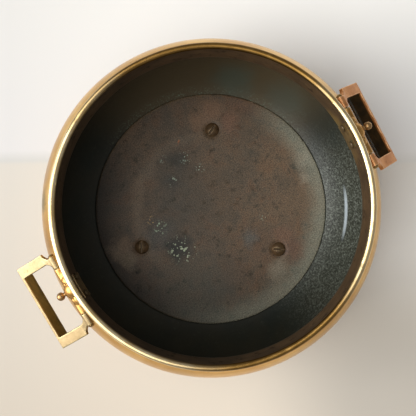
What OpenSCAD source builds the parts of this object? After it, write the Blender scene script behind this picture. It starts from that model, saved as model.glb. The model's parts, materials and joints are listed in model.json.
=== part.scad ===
// Brass planter pot: a squat spun bowl with a rolled rim, three screwed-on feet and two hinged drop handles.
// Origin: on the bowl's axis, on the ground under the feet. +Z up. Handles sit on the -X (left) and +X (right) sides.

/* [Bowl] */
// height of the rim above the ground
rim_z = 125; // [110:1:150]
// radius of the ridge of the rolled rim
rim_r = 100.6; // [90:0.1:115]
// how far the belly swells out past the ridge of the rim
belly_out = 16.6; // [12:0.1:24]
// height of the widest part of the belly
belly_z = 70; // [60:1:85]
// height of the upright collar under the rim
collar_h = 21; // [19:0.5:30]
// how far the foot of the collar sits in from the ridge of the rim
neck_in = 1.7; // [1:0.1:4]
// thickness of the spun wall
wall = 1.2; // [0.8:0.1:2]
// radius of the rolled rim bead
bead_rad = 2.2; // [1.6:0.1:3]
// radius of the wire inside the bead
wire_rad = 1.2; // [0.8:0.1:2]

/* [Floor] */
// how far the floor's edge sits in from the outside of the belly
floor_in = 28; // [24:0.1:36]
// thickness of the floor disc
floor_t = 2; // [1.6:0.1:4]
// depth of the dished seat under each screw head
dish_depth = 0.8; // [0.4:0.1:1.2]
// how far each dished seat flares out past its screw head
dish_flare = 1.3; // [0.6:0.1:3]

/* [Feet] */
// height of each turned foot
foot_h = 18; // [14:1:30]
// radius of the ball of the foot
foot_ball_r = 11; // [9:0.5:16]
// how far the middle of each foot sits in from the floor's edge
foot_in = 28.7; // [20:0.1:40]
// shank radius of the foot screws
screw_r = 3; // [2:0.5:4]
// radius of the screw heads
screw_head_r = 5.6; // [4:0.1:8]
// height of the domed screw heads
screw_head_h = 3.2; // [2:0.1:5]
// shank length below the head
screw_l = 13; // [8:1:22]
// bearing of the back screw's slot, in degrees
slot_back = 26; // [0:1:180]
// bearing of the left screw's slot, in degrees
slot_left = 61; // [0:1:180]
// bearing of the front screw's slot, in degrees
slot_front = 146; // [0:1:180]

/* [Handles] */
// how far each handle sits round from the X axis towards the front, in degrees
handle_set = 1.6; // [0:0.1:5]
// distance of the hinge line from the outside of the collar
hinge_out = 4.83; // [4:0.01:8]
// distance of the hinge line below the top of the rim
hinge_drop = 11.1; // [8:0.1:16]
// droop of the left handle below level at rest, in degrees
left_droop = 17; // [-90:1:38]
// gap left between a hanging handle's lip and the shoulder
hang_gap = 1; // [0.3:0.01:3]
// overall width of the handle
handle_w = 58.8; // [50:0.1:80]
// distance from the hinge line to the outside of the grip
handle_l = 26.5; // [20:0.1:40]
// width of each arm
arm_w = 7.5; // [5:0.1:12]
// thickness of each arm
arm_t = 3; // [2:0.1:5]
// depth of the grip bar
grip_depth = 12; // [8:0.1:15]
// thickness of the grip bar
grip_t = 2; // [1.5:0.1:3]
// radius of the rounded lower lip of the grip
lip_r = 1.3; // [1:0.1:2]
// radius of the notch in the root of each arm
notch_r = 4.7; // [1:0.1:6]
// radius of the hinge knuckles
knuckle_r = 2.9; // [2.4:0.1:4]
// length of each hinge knuckle
knuckle_l = 8; // [5:0.1:12]
// radius of the hinge pins
pin_r = 1.6; // [1:0.1:2.4]
// radial play of the handle on its pins
pin_play = 0.06; // [0.02:0.01:0.1]

/* [Handle mounts] */
// width of the cast handle mount
mount_w = 32.6; // [26:0.1:45]
// thickness of the mount's pad over the collar
pad_t = 2.4; // [1.6:0.1:3.5]
// radius of the central dome of the mount
dome_r = 7; // [6:0.1:7.4]
// radius of the ball finial
ball_r = 2.7; // [2:0.1:4]
// bare length of the finial's stem between the dome and the ball
stem_l = 0.2; // [0.2:0.1:5]
// radius of the stem of the finial
stem_r = 1.4; // [1:0.1:2]
// radius of the rivets that hold each mount
rivet_r = 1.5; // [1:0.1:2.5]
// half distance between the two rivets
rivet_half = 6; // [4:0.1:9]
// width of the backing plate inside the collar
backing_w = 17; // [15:0.1:24]
// thickness of the backing plate
backing_t = 0.9; // [0.6:0.1:1.5]

/* [Hidden] */
$fn = 128;
fit = 0.03;
clear = 0.4;
left_side = 180 + handle_set;
right_side = -handle_set;
belly_r = rim_r + belly_out;
neck_r = rim_r - neck_in;
floor_r = belly_r - floor_in;
foot_circle_r = floor_r - foot_in;
dish_r = screw_head_r + dish_flare;
hinge_z = rim_z - hinge_drop;
bead_z = rim_z - bead_rad;
neck_z = rim_z - collar_h;
flange_w = 8;
floor_top = foot_h + floor_t;
groove_w = 1.2;
// inner wall arc from the floor's groove to the belly, and the shoulder arc from the belly to the neck
wall_in = floor_r + groove_w;
belly_in = belly_r - wall;
low_rise = belly_z - floor_top;
low_run = belly_in - wall_in;
low_r = (low_run * low_run + low_rise * low_rise) / (2 * low_run);
low_x = belly_in - low_r;
top_rise = neck_z - belly_z;
top_run = belly_r - neck_r;
top_r = (top_run * top_run + top_rise * top_rise) / (2 * top_run);
top_x = belly_r - top_r;
seat_in = low_x + sqrt(low_r * low_r - (belly_z - foot_h) * (belly_z - foot_h));
collar_top_r = rim_r - bead_rad + wall + 0.2;
collar_lean = (collar_top_r - neck_r) / (bead_z - neck_z);
collar_mid_r = neck_r + collar_lean * (hinge_z - neck_z);
hinge_r = collar_mid_r + hinge_out;
head_sphere = (screw_head_r * screw_head_r + screw_head_h * screw_head_h) / (2 * screw_head_h);
window_y = handle_w / 2 - arm_w;
knuckle_y = mount_w / 2 + clear;
grip_bow_r = 30;
grip_top = 1;
lip_x = handle_l - grip_t / 2 - 0.6;
lip_z = grip_top - grip_depth + lip_r;
// a handle hangs until its lip comes to the shoulder: cosine rule on shoulder centre, hinge line and lip
hinge_rise = hinge_z - belly_z;
hinge_run = hinge_r - top_x;
hinge_reach2 = hinge_run * hinge_run + hinge_rise * hinge_rise;
lip_reach2 = lip_x * lip_x + lip_z * lip_z;
stop_reach = top_r + lip_r + hang_gap;
stop_cos = (stop_reach * stop_reach - hinge_reach2 - lip_reach2) / (2 * sqrt(hinge_reach2 * lip_reach2));
stop_angle = acos(stop_cos);
hang_droop = stop_angle - atan2(hinge_rise, hinge_run) + atan2(lip_z, lip_x);
arm_bend_x = 0.6 * handle_l;
arm_root_x = 2.1 * knuckle_r;
dome_in = 2.4;
ball_out = dome_r - dome_in + stem_l + ball_r;
rivet_tip = hinge_r - collar_mid_r - 1.8;
rivet_head_x = collar_mid_r - wall - 2 * fit - backing_t - 0.6 - hinge_r;

// Half section of the filled bowl, grown inwards by t from its outside.
module bowl_section(t, z0) {
    intersection() {
        translate([low_x, belly_z])
            circle(low_r + wall - t, $fn = 256);
        translate([0, z0])
            square([2 * belly_r, belly_z - z0]);
    }
    translate([0, z0])
        square([low_x, belly_z - z0]);
    intersection() {
        translate([top_x, belly_z])
            circle(top_r - t, $fn = 256);
        translate([0, belly_z])
            square([2 * belly_r, neck_z + 1 - belly_z]);
    }
    translate([0, belly_z])
        square([top_x, neck_z + 1 - belly_z]);
}

// Half section of the filled collar out to its face, from drop below the neck up to the bead.
module collar_section(t, drop) {
    polygon([
        [0, neck_z - drop],
        [neck_r - t - collar_lean * drop, neck_z - drop],
        [collar_top_r - t, bead_z],
        [0, bead_z]
    ]);
}

// Spun bowl: in-turned foot flange, belly, shoulder, collar and an open rolled bead.
module body_shell() {
    color([0.80, 0.63, 0.32])
    difference() {
        rotate_extrude($fn = 256)
            shell_section();
        for (side = [left_side, right_side])
            rivet_holes(side);
    }
}

// Half section of the spun sheet, bead and all.
module shell_section() {
    difference() {
        union() {
            difference() {
                union() {
                    bowl_section(0, foot_h - wall);
                    collar_section(0, 1);
                }
                bowl_section(wall, foot_h);
                collar_section(wall, 4);
                translate([0, foot_h - 2 * wall])
                    square([seat_in - flange_w, 3 * wall]);
            }
            translate([rim_r, bead_z])
                circle(bead_rad, $fn = 48);
        }
        translate([rim_r, bead_z])
            circle(wire_rad + fit, $fn = 48);
        translate([rim_r, bead_z])
            rotate(-50)
                translate([0, -0.2])
                    square([2 * bead_rad, 0.4]);
    }
}

// Wire that the rim is rolled over.
module rim_wire() {
    color([0.45, 0.42, 0.38])
    rotate_extrude($fn = 256)
        translate([rim_r, bead_z])
            circle(wire_rad, $fn = 48);
}

// Floor disc dropped on the flange, with a dished seat and a hole for each foot screw.
module floor_disc() {
    color([0.42, 0.36, 0.28])
    difference() {
        translate([0, 0, foot_h])
            cylinder(h = floor_t, r1 = seat_in - groove_w, r2 = floor_r, $fn = 256);
        for (a = [60, 180, 300])
            rotate(a)
                translate([foot_circle_r, 0, 0]) {
                    translate([0, 0, floor_top - dish_depth])
                        cylinder(h = dish_depth + 0.01, r1 = screw_head_r + clear, r2 = dish_r, $fn = 64);
                    translate([0, 0, foot_h - 1])
                        cylinder(h = floor_t + 2, r = screw_r + 0.2, $fn = 64);
                }
    }
}

// Turned brass foot: ball with a flat tread, neck and a flange against the floor disc.
module foot(a) {
    tread_z = foot_ball_r - 2.5;
    color([0.78, 0.61, 0.31])
    rotate(a)
    translate([foot_circle_r, 0, 0])
    rotate_extrude($fn = 96)
        difference() {
            union() {
                intersection() {
                    translate([0, tread_z])
                        circle(foot_ball_r, $fn = 96);
                    square([2 * foot_ball_r, foot_h]);
                }
                square([0.62 * foot_ball_r, foot_h]);
                translate([0, foot_h - 2])
                    square([foot_ball_r - 1, 2]);
                translate([foot_ball_r - 1, foot_h - 1])
                    circle(1, $fn = 32);
            }
            translate([0, foot_h + floor_t - dish_depth - screw_l - 0.5])
                square([screw_r + 0.05, 2 * foot_h]);
            translate([-2 * foot_ball_r, -1])
                square([2 * foot_ball_r, 2 * foot_h]);
        }
}

// Slotted round-head screw that pulls the foot up against the floor disc.
module foot_screw(a, slot_turn) {
    seat = floor_top - dish_depth;
    color([0.50, 0.40, 0.26])
    rotate(a)
    translate([foot_circle_r, 0, seat])
    difference() {
        union() {
            translate([0, 0, -screw_l])
                cylinder(h = screw_l + 0.5, r = screw_r, $fn = 64);
            intersection() {
                translate([0, 0, screw_head_h - head_sphere])
                    sphere(head_sphere, $fn = 96);
                cylinder(h = screw_head_h + 1, r = screw_head_r, $fn = 96);
            }
        }
        rotate(slot_turn - a)
            translate([-2 * screw_head_r, -0.7, screw_head_h - 1.8])
                cube([4 * screw_head_r, 1.4, 5]);
    }
}

// Hinge axis frame of one side: x out from the bowl, y along the hinge line.
module at_hinge(side) {
    rotate(side)
        translate([hinge_r, 0, hinge_z])
            children();
}

// Holes for the two rivets of one mount, through backing plate and collar into the pad.
module rivet_holes(side) {
    at_hinge(side)
        for (s = [-1, 1])
            translate([-12, s * rivet_half, 0])
                rotate([0, 90, 0])
                    cylinder(h = 12 - rivet_tip, r = rivet_r + fit, $fn = 48);
}

// Cast handle mount: curved pad, hinge barrel and a lobed dome, fitted to the collar.
module handle_mount(side) {
    pad_half = asin(mount_w / 2 / collar_mid_r);
    pad_foot = neck_z + 1.5;
    pad_head = bead_z - bead_rad - 0.8;
    first_lobe = dome_r - 0.5;
    lobe_step = (mount_w / 2 - 1.7 - first_lobe) / 2;
    color([0.74, 0.56, 0.27])
    difference() {
        union() {
            rotate(side)
                rotate([0, 0, -pad_half])
                    rotate_extrude(angle = 2 * pad_half, $fn = 256)
                        polygon([
                            [neck_r - 2, pad_foot],
                            [neck_r + pad_t, pad_foot],
                            [collar_mid_r + pad_t, hinge_z],
                            [collar_top_r + pad_t / 2, pad_head],
                            [neck_r - 2, pad_head]
                        ]);
            at_hinge(side)
                intersection() {
                    union() {
                        rotate([90, 0, 0])
                            cylinder(h = mount_w, r = knuckle_r, center = true, $fn = 64);
                        translate([-dome_in, 0, -0.6])
                            sphere(dome_r, $fn = 64);
                        for (s = [-1, 1])
                            for (i = [0 : 2])
                                let (y = first_lobe + i * lobe_step)
                                    translate([-dome_in - y * y / 2 / collar_mid_r, s * y, -0.4])
                                        sphere(dome_r - 1.4 - i, $fn = 48);
                    }
                    translate([-15, -mount_w / 2, -10])
                        cube([30, mount_w, 10 + hinge_drop - 2 * bead_rad]);
                }
        }
        rotate_extrude($fn = 256)
            collar_section(-fit, 8);
        rotate_extrude($fn = 256)
            bowl_section(-fit, belly_z - 5);
        at_hinge(side)
            for (s = [-1, 1])
                translate([0, s * (mount_w / 2 - 7), 0])
                    rotate([-90 * s, 0, 0])
                        cylinder(h = 10, r = pin_r + fit, $fn = 48);
        rivet_holes(side);
        at_hinge(side)
            rotate([0, 90, 0])
                cylinder(h = 12, r = stem_r + fit, $fn = 48);
        at_hinge(side)
            for (s = [-1, 1])
                for (y = [5.6, 9.2, 12.6])
                    translate([1.4, s * y, 4])
                        sphere(1, $fn = 32);
    }
}

// Curved plate inside the collar that spreads the load of the mount's rivets.
module backing_plate(side) {
    half = asin(backing_w / 2 / collar_mid_r);
    face = neck_r - wall - 2 * fit;
    color([0.50, 0.38, 0.22])
    difference() {
        rotate(side)
            rotate([0, 0, -half])
                rotate_extrude(angle = 2 * half, $fn = 256)
                    polygon([
                        [face - backing_t, neck_z + 1],
                        [face + collar_lean * 1, neck_z + 1],
                        [face + collar_lean * (collar_h - 5), rim_z - 5],
                        [face + collar_lean * (collar_h - 5) - backing_t, rim_z - 5]
                    ]);
        rivet_holes(side);
    }
}

// The two rivets of one mount, peened to domes on the backing plate.
module mount_rivets(side) {
    head_r = 1.7 * rivet_r;
    head_h = 0.8 * rivet_r;
    cap_r = (head_r * head_r + head_h * head_h) / (2 * head_h);
    color([0.62, 0.48, 0.25])
    at_hinge(side)
        for (s = [-1, 1])
            translate([rivet_head_x, s * rivet_half, 0])
                rotate([0, 90, 0]) {
                    cylinder(h = -rivet_tip - fit - rivet_head_x, r = rivet_r, $fn = 48);
                    intersection() {
                        translate([0, 0, cap_r - head_h])
                            sphere(cap_r, $fn = 64);
                        translate([0, 0, -2 * head_h])
                            cylinder(h = 2 * head_h, r = 2 * head_r, $fn = 64);
                    }
                }
}

// Ball on a short stem, screwed into the dome of the mount.
module ball_finial(side) {
    color([0.76, 0.60, 0.32])
    at_hinge(side) {
        translate([fit, 0, 0])
            rotate([0, 90, 0])
                cylinder(h = ball_out, r = stem_r, $fn = 48);
        translate([ball_out, 0, 0])
            sphere(ball_r, $fn = 96);
    }
}

// Headed pin driven into one end of the mount's barrel; s is the end of the hinge line it sits on.
module hinge_pin(side, s) {
    start = mount_w / 2 - 6.8;
    outer = knuckle_y + knuckle_l + clear;
    color([0.66, 0.52, 0.28])
    at_hinge(side)
        rotate([-90 * s, 0, 0]) {
            translate([0, 0, start])
                cylinder(h = outer - start + 0.5, r = pin_r, $fn = 64);
            intersection() {
                translate([0, 0, outer - 0.9])
                    sphere(1.5 * pin_r, $fn = 64);
                translate([0, 0, outer])
                    cylinder(h = 3 * pin_r, r = 2 * pin_r, $fn = 64);
            }
        }
}

// Plan of the arm on the +Y side, with its ogee step in to the knuckle.
module arm_plan() {
    knuckle_end = knuckle_y + knuckle_l;
    step_out = min(notch_r, handle_w / 2 - knuckle_end);
    step_in = window_y - knuckle_y;
    difference() {
        translate([0, knuckle_y])
            square([handle_l, handle_w / 2 - knuckle_y]);
        translate([step_in + 1.7, knuckle_y - 1])
            square([handle_l, step_in + 1]);
        translate([step_in + 1.7, knuckle_y])
            circle(step_in, $fn = 96);
        translate([-1, knuckle_end])
            square([1 + 1.5 * pin_r + clear, handle_w / 2]);
        translate([0.6, handle_w / 2])
            circle(step_out, $fn = 96);
    }
}

// Bowed section of the grip, hollow side towards the bowl, with a rounded lower lip.
module grip_section() {
    mid = grip_top - grip_depth / 2;
    intersection() {
        difference() {
            translate([handle_l - grip_bow_r, mid])
                circle(grip_bow_r, $fn = 512);
            translate([handle_l - grip_bow_r, mid])
                circle(grip_bow_r - grip_t, $fn = 512);
        }
        translate([handle_l / 2, grip_top - grip_depth + 0.6])
            square([handle_l, grip_depth - 0.6]);
    }
    translate([lip_x, lip_z])
        circle(lip_r, $fn = 48);
}

// Side section of the arms: swelling up to the knuckle at the root and easing down over their outer part.
module arm_section() {
    intersection() {
        polygon([
            [-1, -arm_t / 2],
            [handle_l, -arm_t / 2],
            [handle_l, grip_top],
            [arm_bend_x, arm_t / 2],
            [arm_root_x, arm_t / 2],
            [0.35 * knuckle_r, 0.9 * knuckle_r],
            [-1, 0.9 * knuckle_r]
        ]);
        translate([handle_l - grip_bow_r, grip_top - grip_depth / 2])
            circle(grip_bow_r, $fn = 512);
    }
}

// Web that closes each end of the hollow grip.
module web_section() {
    reach = grip_depth - arm_t;
    intersection() {
        difference() {
            translate([handle_l - reach, grip_top - grip_depth + 1])
                square([reach, reach + 1]);
            translate([handle_l - reach - grip_t, grip_top - grip_depth + 1])
                circle(reach, $fn = 128);
        }
        translate([handle_l - grip_bow_r, grip_top - grip_depth / 2])
            circle(grip_bow_r, $fn = 512);
    }
}

// Cast drop handle of one side, swung down by droop degrees from level.
module drop_handle(side, droop) {
    color([0.78, 0.64, 0.40])
    at_hinge(side)
    rotate([0, droop, 0])
    difference() {
        union() {
            for (s = [0, 1])
                mirror([0, s, 0])
                    intersection() {
                        translate([0, 0, -arm_t - knuckle_r])
                            linear_extrude(2 * (arm_t + knuckle_r))
                                arm_plan();
                        rotate([90, 0, 0])
                            linear_extrude(2 * handle_w, center = true)
                                arm_section();
                    }
            rotate([90, 0, 0])
                linear_extrude(handle_w, center = true)
                    grip_section();
            for (s = [-1, 1])
                translate([0, s * (handle_w - grip_t) / 2, 0])
                    rotate([90, 0, 0])
                        linear_extrude(grip_t, center = true)
                            web_section();
            for (s = [-1, 1])
                translate([0, s * (knuckle_y + knuckle_l / 2), 0])
                    rotate([90, 0, 0])
                        cylinder(h = knuckle_l, r = knuckle_r, center = true, $fn = 64);
        }
        rotate([90, 0, 0])
            cylinder(h = 2 * handle_w, r = pin_r + pin_play, center = true, $fn = 64);
    }
}

body_shell();
rim_wire();
floor_disc();
foot(180);  // foot_left
foot(300);  // foot_front
foot(60);  // foot_back
foot_screw(180, slot_left);  // foot_screw_left
foot_screw(300, slot_front);  // foot_screw_front
foot_screw(60, slot_back);  // foot_screw_back
handle_mount(left_side);  // handle_mount_left
handle_mount(right_side);  // handle_mount_right
backing_plate(left_side);  // backing_plate_left
backing_plate(right_side);  // backing_plate_right
mount_rivets(left_side);  // mount_rivets_left
mount_rivets(right_side);  // mount_rivets_right
ball_finial(left_side);  // ball_finial_left
ball_finial(right_side);  // ball_finial_right
hinge_pin(left_side, 1);  // hinge_pin_left_front
hinge_pin(left_side, -1);  // hinge_pin_left_back
hinge_pin(right_side, -1);  // hinge_pin_right_front
hinge_pin(right_side, 1);  // hinge_pin_right_back
drop_handle(left_side, left_droop);  // drop_handle_left
drop_handle(right_side, hang_droop);  // drop_handle_right
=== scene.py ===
"""Looks for a squat spun brass planter pot: a rolled rim, screwed-on feet and two hinged drop handles.

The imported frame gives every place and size. Each sub-assembly is a class that builds its finer meshes around
that frame and dresses them; each finish is a frozen dataclass that builds one procedural material. Lengths
are in metres unless a name ends in _mm.
"""

import json
import logging
import math
from dataclasses import dataclass, field
from enum import Enum

import bpy
import numpy as np
from mathutils import Matrix, Vector, noise


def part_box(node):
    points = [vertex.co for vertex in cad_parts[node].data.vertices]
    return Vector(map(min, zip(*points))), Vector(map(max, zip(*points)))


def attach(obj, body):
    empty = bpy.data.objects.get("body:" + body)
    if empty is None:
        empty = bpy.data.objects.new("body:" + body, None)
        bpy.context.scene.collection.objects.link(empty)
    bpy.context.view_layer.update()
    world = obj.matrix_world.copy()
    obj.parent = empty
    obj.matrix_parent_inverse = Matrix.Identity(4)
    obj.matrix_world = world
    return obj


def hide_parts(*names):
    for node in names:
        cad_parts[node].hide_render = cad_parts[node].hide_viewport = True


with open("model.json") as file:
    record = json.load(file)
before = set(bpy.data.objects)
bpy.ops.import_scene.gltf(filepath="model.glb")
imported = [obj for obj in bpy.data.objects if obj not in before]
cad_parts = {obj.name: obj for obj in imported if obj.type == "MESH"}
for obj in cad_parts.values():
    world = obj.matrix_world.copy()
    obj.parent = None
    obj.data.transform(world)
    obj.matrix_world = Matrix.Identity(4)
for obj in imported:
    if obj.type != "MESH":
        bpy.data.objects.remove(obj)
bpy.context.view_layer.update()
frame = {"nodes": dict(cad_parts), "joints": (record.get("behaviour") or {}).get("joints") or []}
MM = 0.001
log = logging.getLogger("planter")

Points = list[tuple[float, float]]
Socket = bpy.types.NodeSocket
Tree = bpy.types.NodeTree

# settings of the clamped sums that join one share with another
TIMES = {"operation": "MULTIPLY", "use_clamp": True}
PLUS = {"operation": "ADD", "use_clamp": True}
LESS = {"operation": "SUBTRACT", "use_clamp": True}
LARGER = {"operation": "MAXIMUM", "use_clamp": True}


class Side(Enum):
    """The two sides of the pot that carry a handle."""

    LEFT = "left"
    RIGHT = "right"


class Foot(Enum):
    """The three feet, with the bearing of each from the pot's axis in degrees."""

    LEFT = 180
    FRONT = 300
    BACK = 60


# ---------------------------------------------------------------- colour and node helpers


def linear(hex_code: str) -> tuple[float, float, float, float]:
    """Turns an sRGB hex colour to linear.

    Args:
        hex_code: Six hex digits after a hash sign.

    Returns:
        Linear red, green, blue and an alpha of one.
    """
    channels = [int(hex_code[i:i + 2], 16) / 255 for i in (1, 3, 5)]
    toned = [c / 12.92 if c <= 0.04045 else ((c + 0.055) / 1.055) ** 2.4 for c in channels]
    return (toned[0], toned[1], toned[2], 1.0)


def add(tree: Tree, kind: str, settings: dict | None = None,
        links: dict | None = None) -> bpy.types.Node:
    """Adds one node with its settings and links.

    Args:
        tree: Node tree that takes the node.
        kind: Node type, without its ShaderNode prefix.
        settings: Values by the name or number of a node property or input; "stops" sets a colour ramp.
        links: Output sockets by the name or number of the input that each one feeds.

    Returns:
        The new node.
    """
    made = tree.nodes.new("ShaderNode" + kind)
    for name, value in (settings or {}).items():
        if name == "stops":
            ramp = made.color_ramp.elements
            while len(ramp) < len(value):
                ramp.new(0.5)
            for stop, (place, colour) in zip(ramp, value):
                stop.position = place
                stop.color = linear(colour) if isinstance(colour, str) else (colour, colour, colour, 1)
        elif hasattr(made, str(name)):
            setattr(made, name, value)
        else:
            made.inputs[name].default_value = value
    for name, source in (links or {}).items():
        tree.links.new(source, made.inputs[name])
    return made


# ---------------------------------------------------------------- mesh helpers


def mesh_object(name: str, points: np.ndarray, faces: list[tuple[int, ...]]) -> bpy.types.Object:
    """Makes a smooth-shaded mesh object.

    Args:
        name: Name of the piece.
        points: Vertices, one row each, in the row frame.
        faces: Vertex numbers of each face.

    Returns:
        The object, linked into the scene.
    """
    mesh = bpy.data.meshes.new(name)
    mesh.from_pydata([tuple(p) for p in points], [], faces)
    mesh.shade_smooth()
    made = bpy.data.objects.new(name, mesh)
    bpy.context.scene.collection.objects.link(made)
    return made


def coordinates(obj: bpy.types.Object) -> np.ndarray:
    """Reads a mesh's vertices.

    Args:
        obj: Object whose mesh is read.

    Returns:
        The vertices, one row each.
    """
    flat = np.empty(len(obj.data.vertices) * 3)
    obj.data.vertices.foreach_get("co", flat)
    return flat.reshape(-1, 3)


def normals(obj: bpy.types.Object) -> np.ndarray:
    """Reads a mesh's vertex normals.

    Args:
        obj: Object whose mesh is read.

    Returns:
        The normals, one row each.
    """
    flat = np.empty(len(obj.data.vertices) * 3)
    obj.data.vertex_normals.foreach_get("vector", flat)
    return flat.reshape(-1, 3)


def move_to(obj: bpy.types.Object, points: np.ndarray) -> None:
    """Writes a mesh's vertices.

    Args:
        obj: Object whose mesh changes.
        points: New vertices, one row each.
    """
    obj.data.vertices.foreach_set("co", points.ravel())
    obj.data.update()


def mark(obj: bpy.types.Object, name: str, values: np.ndarray) -> None:
    """Stores one number per vertex for the materials.

    Args:
        obj: Object that takes the numbers.
        name: Name of the attribute.
        values: One number per vertex.
    """
    layer = obj.data.attributes.new(name, "FLOAT", "POINT")
    layer.data.foreach_set("value", np.asarray(values, np.float32))


def neighbour_mean(obj: bpy.types.Object, values: np.ndarray) -> np.ndarray:
    """Averages a quantity over each vertex's neighbours.

    Args:
        obj: Object whose edges say which vertices are neighbours.
        values: One row per vertex.

    Returns:
        The mean of the neighbours' rows, one row per vertex.
    """
    ends = np.empty(len(obj.data.edges) * 2, np.int64)
    obj.data.edges.foreach_get("vertices", ends)
    a, b = ends.reshape(-1, 2).T
    count = np.bincount(np.concatenate([a, b]), minlength=len(values))
    sums = np.empty_like(values)
    for column in range(values.shape[1]):
        weights = np.concatenate([values[b, column], values[a, column]])
        sums[:, column] = np.bincount(np.concatenate([a, b]), weights, len(values))
    return sums / np.maximum(count, 1)[:, None]


def grain(points: np.ndarray, size: float, octaves: int = 3) -> np.ndarray:
    """Samples layered noise at each point.

    Args:
        points: Places, one row each.
        size: Size of the largest features, in metres.
        octaves: Number of layers, each half as large as the last.

    Returns:
        Values from about -1 to 1.
    """
    return np.array([noise.fractal(Vector(p) / size, 1.0, 2.0, octaves) for p in points])


# how a sharp bend of a casting's surface turns to wear on its edges, and to grime with painted shade in its
# corners
BEND_GAIN = 14
WEAR_FROM = 0.25
GRIME_AND_SHADE_FROM = 0.15
BEND_ROUNDS = 4
SOFTEN = 0.6


def cast_copy(name: str, node: str, voxel_mm: float, rounds: int) -> bpy.types.Object:
    """Copies a CAD node as a fine mesh with the soft edges of a worn casting.

    Args:
        name: Name of the new piece.
        node: CAD node that it follows.
        voxel_mm: Size of its facets, in millimetres.
        rounds: Rounds of smoothing, each of which softens the edges further.

    Returns:
        The new object, with its wear, and its grime with painted shade, marked.
    """
    rough = bpy.data.objects.new(name + "_rough", frame["nodes"][node].data.copy())
    bpy.context.scene.collection.objects.link(rough)
    weld = rough.modifiers.new("weld", "WELD")
    weld.merge_threshold = 0.005 * MM
    remesh = rough.modifiers.new("remesh", "REMESH")
    remesh.mode = "VOXEL"
    remesh.voxel_size = voxel_mm * MM
    graph = bpy.context.evaluated_depsgraph_get()
    mesh = bpy.data.meshes.new_from_object(rough.evaluated_get(graph))
    bpy.data.objects.remove(rough)
    mesh.name = name
    mesh.materials.clear()
    made = bpy.data.objects.new(name, mesh)
    bpy.context.scene.collection.objects.link(made)
    for _ in range(rounds):
        here = coordinates(made)
        move_to(made, here + SOFTEN * (neighbour_mean(made, here) - here))
    mesh.shade_smooth()
    here = coordinates(made)
    bend = ((neighbour_mean(made, here) - here) * normals(made)).sum(1) / (voxel_mm * MM)
    for _ in range(BEND_ROUNDS):
        bend = (1 - SOFTEN) * bend + SOFTEN * neighbour_mean(made, bend[:, None])[:, 0]
    mark(made, "wear", np.clip(-bend * BEND_GAIN - WEAR_FROM, 0, 1))
    mark(made, "grime", np.clip(bend * BEND_GAIN - GRIME_AND_SHADE_FROM, 0, 1))
    return made


def roughen(obj: bpy.types.Object, size_mm: float, depth_mm: float) -> None:
    """Sinks a surface unevenly, as casting and long use leave it.

    Args:
        obj: Object whose mesh is worked.
        size_mm: Size of the largest hollows.
        depth_mm: Greatest depth of the hollows.
    """
    here = coordinates(obj)
    sink = 0.5 * (grain(here, size_mm * MM) + 1) * depth_mm * MM
    move_to(obj, here - normals(obj) * np.clip(sink, 0, depth_mm * MM)[:, None])


def arc(centre: tuple[float, float], radius: float, start: float, end: float, count: int) -> Points:
    """Points on an arc of a half section.

    Args:
        centre: Distance from the axis, and height.
        radius: Radius of the arc.
        start: First angle, in degrees.
        end: Last angle, in degrees.
        count: Number of points, both ends included.

    Returns:
        The points, from start to end.
    """
    turns = np.radians(np.linspace(start, end, count))
    return [(centre[0] + radius * math.cos(t), centre[1] + radius * math.sin(t)) for t in turns]


def line(start: tuple[float, float], end: tuple[float, float], count: int) -> Points:
    """Evenly spaced points on a straight stretch of a half section.

    Args:
        start: First point.
        end: Point that the stretch stops short of.
        count: Number of points, without the end.

    Returns:
        The points, from start on.
    """
    shares = np.linspace(0, 1, count, endpoint=False)
    return [(start[0] + s * (end[0] - start[0]), start[1] + s * (end[1] - start[1])) for s in shares]


def dress(obj: bpy.types.Object, material: bpy.types.Material) -> None:
    """Gives every face of an object one material.

    Args:
        obj: Object to dress.
        material: Finish that it takes.
    """
    if not obj.data.materials:
        obj.data.materials.append(material)
    for index in range(len(obj.data.materials)):
        obj.data.materials[index] = material


# ---------------------------------------------------------------- finishes


@dataclass(frozen=True)
class Layer:
    """One surface: its colours, gloss, and the sizes of its patches, specks and relief.

    Attributes:
        base: Main colour.
        second: Colour of the broad patches.
        stain: Colour of the smaller stains, and of the grime and painted shade in hollows.
        worn: Colour where edges are rubbed.
        metallic: Share of bare metal, from 0 to 1.
        gloss: Roughness of the cleanest places.
        dull: Roughness of the dullest places.
        patch_mm: Size of the broad patches.
        stain_mm: Size of the stains.
        stain_from: Noise level at which stains begin, lower for more of them.
        relief_mm: Height of the fine relief.
        relief_size_mm: Size of the fine relief.
    """

    base: str
    second: str
    stain: str
    worn: str
    metallic: float
    gloss: float
    dull: float
    patch_mm: float
    stain_mm: float
    stain_from: float
    relief_mm: float
    relief_size_mm: float


# noise over which a stain fades in, and how fully grime with painted shade, and rubbing, cover
STAIN_FADE = 0.12
GRIME_AND_SHADE_SHARE = 0.85
WEAR_SHARE = 0.8


@dataclass
class Surface:
    """The sockets of one shaded layer, ready to be mixed with another."""

    colour: Socket
    roughness: Socket
    metallic: float
    height: Socket
    relief: float


def halved(tree: Tree, first: Socket, second: Socket) -> Socket:
    """Takes half of each of two values.

    Args:
        tree: Material's node tree.
        first: First value.
        second: Second value.

    Returns:
        Their mean.
    """
    halves = [add(tree, "Math", TIMES | {1: 0.5}, {0: value}).outputs[0] for value in (first, second)]
    return add(tree, "Math", PLUS, dict(enumerate(halves))).outputs[0]


def veiled(tree: Tree, colour: Socket, veils: tuple[tuple[Socket, float, str], ...]) -> Socket:
    """Lays thin coats of colour over a colour, one after another.

    Args:
        tree: Material's node tree.
        colour: Colour beneath.
        veils: Where each coat lies, how strongly it covers, and its colour; lowest first.

    Returns:
        The colour that shows.
    """
    for share, strength, coat in veils:
        cover = add(tree, "Math", TIMES | {1: strength}, {0: share})
        colour = add(tree, "MixRGB", {"Color2": linear(coat)},
                     {"Fac": cover.outputs[0], "Color1": colour}).outputs[0]
    return colour


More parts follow.
